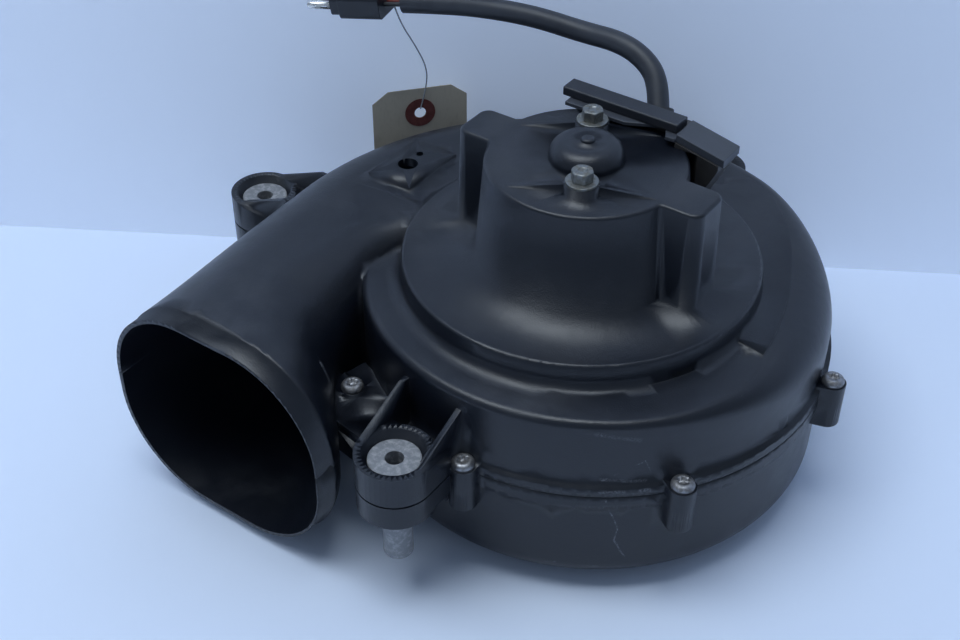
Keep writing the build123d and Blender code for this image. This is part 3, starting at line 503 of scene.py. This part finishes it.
@dataclass
class Stage:
    """Pale table top, wall behind it, soft lights and the camera."""

    eye: Point = (0.2372, -0.4121, 0.4468)
    heading: float = 35.0
    pitch: float = 38.8
    roll: float = 0.3
    lens: float = 52.5
    table_edge_left: Point = (-0.347, -0.043, 0.0)
    table_edge_right: Point = (0.104, 0.223, 0.0)
    reach: float = 3.0
    table_colour: Colour = (0.76, 0.84, 0.98)
    wall_colour: Colour = (0.88, 0.92, 0.99)
    wall_glow: float = 0.16
    light_colour: Colour = (0.82, 0.91, 1.0)
    tube_power: float = 48.0
    ceiling_power: float = 46.0
    sky_strength: float = 0.34

    def camera(self) -> None:
        """Place the camera."""
        data = bpy.data.cameras.new("camera")
        data.lens = self.lens
        data.sensor_width = 36.0
        data.clip_start = 0.01
        eye = bpy.data.objects.new("camera", data)
        turn = Matrix.Rotation(math.radians(self.heading), 4, "Z")
        tilt = Matrix.Rotation(math.radians(90.0 - self.pitch), 4, "X")
        lean = Matrix.Rotation(math.radians(self.roll), 4, "Z")
        eye.matrix_world = Matrix.Translation(self.eye) @ turn @ tilt @ lean
        bpy.context.scene.collection.objects.link(eye)
        bpy.context.scene.camera = eye

    def ground(self) -> None:
        """Lay the table top and stand the wall at its far edge."""
        left, right = Vector(self.table_edge_left), Vector(self.table_edge_right)
        along = (right - left).normalized()
        toward = along.cross(Vector((0, 0, 1)))
        middle = (left + right) / 2
        table = Matrix.Translation(middle + toward * self.reach)
        wall = Matrix.Translation(middle) @ Vector((0, 0, 0)).to_track_quat("Z", "Y").to_matrix().to_4x4()
        sheets = (
            ("table_top", table, Studio("table_top", self.table_colour)),
            ("back_wall", wall, Studio("back_wall", self.wall_colour, self.wall_glow)),
        )
        spin = Matrix.Rotation(math.atan2(along.y, along.x), 4, "Z")
        for name, where, finish in sheets:
            mesh = bmesh.new()
            bmesh.ops.create_grid(mesh, x_segments=1, y_segments=1, size=self.reach)
            rise = math.radians(90.0 if name == "back_wall" else 0.0)
            upright = Matrix.Rotation(rise, 4, "X")
            bmesh.ops.transform(mesh, matrix=where @ spin @ upright, verts=mesh.verts)
            make_object(name, mesh, finish.build())

    def lamp(
        self, name: str, place: Point, aim: Point, size: tuple[float, float], power: float, turn: float
    ) -> None:
        """Hang one rectangular soft light.

        Args:
            name: its name.
            place: its middle.
            aim: the point it faces.
            size: width and depth in metres.
            power: watts.
            turn: degrees that its width is turned from the X axis.
        """
        data = bpy.data.lights.new(name, "AREA")
        data.shape = "RECTANGLE"
        data.size, data.size_y = size
        data.energy = power
        data.color = self.light_colour
        lamp = bpy.data.objects.new(name, data)
        away = (Vector(place) - Vector(aim)).normalized()
        width = Matrix.Rotation(math.radians(turn), 3, "Z") @ Vector((1, 0, 0))
        width = (width - away * width.dot(away)).normalized()
        axes = Matrix((width, away.cross(width), away)).transposed()
        lamp.matrix_world = Matrix.Translation(place) @ axes.to_4x4()
        bpy.context.scene.collection.objects.link(lamp)

    def lights(self) -> None:
        """Hang the lights and set the even light from all round."""
        world = bpy.data.worlds.new("studio")
        world.use_nodes = True
        sky = world.node_tree.nodes["Background"]
        sky.inputs["Color"].default_value = (0.58, 0.74, 1.0, 1.0)
        sky.inputs["Strength"].default_value = self.sky_strength
        bpy.context.scene.world = world
        for name, place in (("tube_near", (-0.25, 0.15, 1.6)), ("tube_far", (-0.55, 0.60, 1.6))):
            self.lamp(name, place, (0.0, 0.0, 0.0), (1.5, 0.08), self.tube_power, self.heading)
        aim = (-0.1, 0.0, 0.0)
        self.lamp("ceiling", (-0.5, -0.1, 1.9), aim, (1.6, 1.6), self.ceiling_power, self.heading)
        bpy.context.scene.view_settings.view_transform = "Standard"

    def build(self) -> None:
        """Set the whole stage."""
        self.camera()
        self.ground()
        self.lights()


# ---------------------------------------------------------------- cords


@dataclass
class PowerLead:
    """Cable, its two wires and the connector with its pins."""

    route: tuple[Point, ...] = (
        (0.0022, 0.0540, 0.1457),
        (-0.0018, 0.0600, 0.1535),
        (-0.0098, 0.0640, 0.1602),
        (-0.0234, 0.0652, 0.1648),
        (-0.0440, 0.0658, 0.1634),
        (-0.0628, 0.0610, 0.1664),
        (-0.0801, 0.0561, 0.1673),
        (-0.1043, 0.0534, 0.1642),
        (-0.1279, 0.0477, 0.1603),
    )
    diameter: float = 9.4 * MM
    length: float = 0.1428

    def spline(
        self, name: str, route: Sequence[Point], diameter: float, material: bpy.types.Material
    ) -> bpy.types.Object:
        """Make a round cord on a smooth line.

        Args:
            name: the piece's name.
            route: control points in metres.
            diameter: the cord's diameter in metres.
            material: its finish.

        Returns:
            The curve object.
        """
        curve = bpy.data.curves.new(name, "CURVE")
        curve.dimensions = "3D"
        curve.bevel_depth = diameter / 2
        curve.bevel_resolution = 6
        curve.use_fill_caps = True
        curve.resolution_u = 16
        line = curve.splines.new("NURBS")
        line.points.add(len(route) - 1)
        for point, place in zip(line.points, route):
            point.co = (*place, 1.0)
        line.order_u = 3
        line.use_endpoint_u = True
        curve.materials.append(material)
        piece = bpy.data.objects.new(name, curve)
        bpy.context.scene.collection.objects.link(piece)
        return piece

    def build(self) -> None:
        """Lay the cable and finish what is on it."""
        rubber = Plain("cable_rubber", (0.018, 0.021, 0.028), (0.030, 0.034, 0.043), 0.42, scale=90.0)
        cable = self.spline("power_cable", self.route, self.diameter, rubber.build())
        settle(cable, Body.HOUSING, "cable_rubber", "cable_sleeve")
        moulded = MouldedPlastic("connector_plastic", grain=0.00003, roughness=0.34, dust_share=0.25)
        black = moulded.build()
        body = softened("connector_body", black, Body.HOUSING, "connector_plastic", 0.5)
        peg = softened("connector_peg", black, Body.HOUSING, "connector_plastic", 0.3)
        pin = Steel("bright_pin", (0.86, 0.85, 0.82), (0.62, 0.60, 0.56), 0.16, patch_share=0.5).build()
        sides = ("left", "right")
        pins = [softened(f"connector_pin_{side}", pin, Body.HOUSING, "pin_metal", 0.0) for side in sides]
        dress("lead_wire_left", Plain("red_wire", (0.22, 0.030, 0.018), (0.15, 0.022, 0.015), 0.35).build())
        black_wire = Plain("black_wire", (0.016, 0.016, 0.018), (0.028, 0.028, 0.03), 0.35)
        dress("lead_wire_right", black_wire.build())


@dataclass
class HangTag:
    """Manila card on a doubled thread tied to the lead wires."""

    thread: tuple[Point, ...] = (
        (-0.13265, 0.04655, 0.15806),
        (-0.1344, 0.0526, 0.1466),
        (-0.1322, 0.0598, 0.1335),
        (-0.1299, 0.0666, 0.1185),
        (-0.1308, 0.0669, 0.1068),
        (-0.1332, 0.06476, 0.09535),
    )
    diameter: float = 0.7 * MM

    def build(self, lead: PowerLead) -> None:
        """Tie the tag on."""
        grey = Plain("grey_thread", (0.42, 0.43, 0.44), (0.27, 0.28, 0.29), 0.85, scale=1500.0).build()
        thread = lead.spline("tag_thread", self.thread, self.diameter, grey)
        settle(thread, Body.HOUSING, "string_grey", "tag_string")
        dress("tag_card", Card().build())
        dress("tag_patch", Plain("red_patch", (0.19, 0.052, 0.045), (0.13, 0.035, 0.03), 0.8).build())


# ---------------------------------------------------------------- housing


@dataclass
class ScrollHousing:
    """The two scroll shells with their screws and mounting sleeves."""

    scratches: tuple[Scratch, ...] = (
        Scratch((58.6, -76.1, 64.7), (71.2, -65.9, 74.4), 0.9, 0.5),
        Scratch((71.2, -65.9, 74.4), (73.5, -63.7, 68.0), 0.8, 0.35),
        Scratch((58.4, -76.3, 65.6), (71.8, -65.4, 63.6), 2.4, 0.30),
        Scratch((59.6, -77.8, 60.6), (67.2, -72.1, 60.6), 1.8, 0.45),
        Scratch((71.6, -68.3, 60.4), (74.5, -65.5, 60.2), 2.2, 0.55),
        Scratch((61.3, -76.6, 56.4), (61.5, -74.0, 49.9), 1.1, 0.7),
        Scratch((61.5, -74.0, 49.9), (63.0, -72.9, 45.9), 1.0, 0.8),
        Scratch((63.0, -72.9, 45.9), (65.0, -71.4, 37.3), 0.9, 0.8),
        Scratch((65.0, -71.4, 37.3), (64.1, -72.1, 31.0), 0.9, 0.7),
        Scratch((64.1, -72.1, 31.0), (68.3, -68.6, 21.7), 1.0, 0.8),
        Scratch((41.2, -85.5, 15.9), (44.9, -83.8, 16.8), 1.6, 0.45),
        Scratch((53.9, -79.1, 15.3), (60.0, -75.1, 15.7), 1.4, 0.5),
        Scratch((43.3, -83.0, 89.6), (56.7, -76.4, 88.6), 3.0, 0.25),
        Scratch((56.7, -76.4, 88.6), (69.1, -67.8, 85.6), 3.0, 0.22),
        Scratch((-58.0, -101.5, 83.2), (-54.5, -100.9, 75.0), 3.4, 0.8),
        Scratch((-54.5, -100.9, 75.0), (-54.0, -93.8, 49.1), 0.9, 0.3),
    )

    def build(self) -> None:
        """Finish the shells, screws and sleeves."""
        plastic = MouldedPlastic("shell_plastic", scratches=self.scratches).build()
        for node in ("upper_scroll_shell", "lower_scroll_shell"):
            softened(node, plastic, Body.HOUSING, "shell_plastic", 0.0)
        zinc = Steel("screw_zinc", (0.33, 0.33, 0.34), (0.12, 0.11, 0.10), 0.42).build()
        softened("shell_screws", zinc, Body.HOUSING, "screw_steel", 0.0)
        chalk = {"metallic": 0.5, "patch_share": 0.8}
        chalky = Steel("chalky_steel", (0.22, 0.225, 0.235), (0.40, 0.40, 0.40), 0.55, **chalk).build()
        for place in ("front", "rear", "duct"):
            softened(f"mount_sleeve_{place}", chalky, Body.HOUSING, "sleeve_steel", 0.3)


@dataclass
class MotorTop:
    """The motor's bolts and washers, and the terminal cover beside the can."""

    edge: float = 0.35

    def build(self) -> None:
        """Finish the fasteners and the terminal cover."""
        plated = Steel("bolt_plate", (0.24, 0.245, 0.235), (0.13, 0.115, 0.085), 0.40).build()
        softened("motor_bolts", plated, Body.HOUSING, "bolt_steel", 0.2)
        softened("motor_bolt_washers", plated, Body.HOUSING, "bolt_steel", 0.2)
        brown = MouldedPlastic("box_plastic", (0.030, 0.028, 0.027), roughness=0.5).build()
        softened("terminal_box", brown, Body.HOUSING, "box_plastic", self.edge)
        black = MouldedPlastic("bar_plastic", (0.014, 0.016, 0.022), roughness=0.42).build()
        grey = MouldedPlastic("lid_plastic", (0.045, 0.05, 0.062), roughness=0.5).build()
        softened("terminal_clip_bar", black, Body.HOUSING, "connector_plastic", self.edge)
        softened("terminal_lid", grey, Body.HOUSING, "lid_plastic", self.edge)
        rubber = Plain("exit_rubber", (0.02, 0.021, 0.024), (0.034, 0.035, 0.038), 0.55).build()
        softened("cable_exit", rubber, Body.HOUSING, "cable_rubber", 0.5)


@dataclass
class Motor:
    """Everything inside the motor can, which is seen only through the inlet and the outlet."""

    def build(self) -> None:
        """Finish the still and the turning parts."""
        sheet = Steel("motor_sheet", (0.48, 0.48, 0.49), (0.34, 0.34, 0.35), 0.34).build()
        ground = Steel("ground_steel", (0.62, 0.62, 0.62), (0.50, 0.50, 0.50), 0.22, patch_share=0.3).build()
        bronze = Plain("bearing_bronze", (0.42, 0.27, 0.12), (0.30, 0.19, 0.085), 0.42, 0.9).build()
        ferrite = Plain("ferrite", (0.05, 0.05, 0.054), (0.075, 0.075, 0.08), 0.6).build()
        carbon = Plain("carbon", (0.03, 0.03, 0.031), (0.05, 0.05, 0.052), 0.55).build()
        board = Plain("brown_board", (0.22, 0.11, 0.05), (0.16, 0.08, 0.035), 0.6).build()
        copper = Windings().build()
        turned = Steel("turned_copper", (0.62, 0.32, 0.17), (0.40, 0.19, 0.10), 0.28).build()
        stacked = Steel("stacked_sheet", (0.33, 0.33, 0.34), (0.22, 0.22, 0.23), 0.4).build()
        finishes = {
            "motor_case": sheet,
            "motor_end_plate": sheet,
            "field_magnet_left": ferrite,
            "field_magnet_right": ferrite,
            "lower_bearing": bronze,
            "upper_bearing": bronze,
            "motor_shaft": ground,
            "armature_core": stacked,
            "armature_windings": copper,
            "commutator": turned,
            "brush_plate": board,
            "brush_left": carbon,
            "brush_right": carbon,
            "brush_spring_left": ground,
            "brush_spring_right": ground,
            "thrust_washer": board,
            "wheel_hub_bush": bronze,
            "wheel_clip": ground,
        }
        for node, material in finishes.items():
            dress(node, material)
            log.info("%s finished", node)


@dataclass
class BlowerWheel:
    """The bladed wheel that turns in the scroll."""

    def build(self) -> None:
        """Finish the wheel."""
        matt = MouldedPlastic("wheel_plastic", (0.014, 0.0145, 0.016), roughness=0.5, dust_share=0.4).build()
        softened("blower_wheel", matt, Body.ROTOR, "wheel_plastic", 0.0)


def main() -> None:
    """Build the whole scene in order."""
    logging.basicConfig(level=logging.INFO, format="%(name)s: %(message)s")
    Stage().build()
    lead = PowerLead()
    lead.build()
    HangTag().build(lead)
    ScrollHousing().build()
    MotorTop().build()
    Motor().build()
    BlowerWheel().build()
    bpy.context.view_layer.update()


if __name__ == "__main__":
    main()
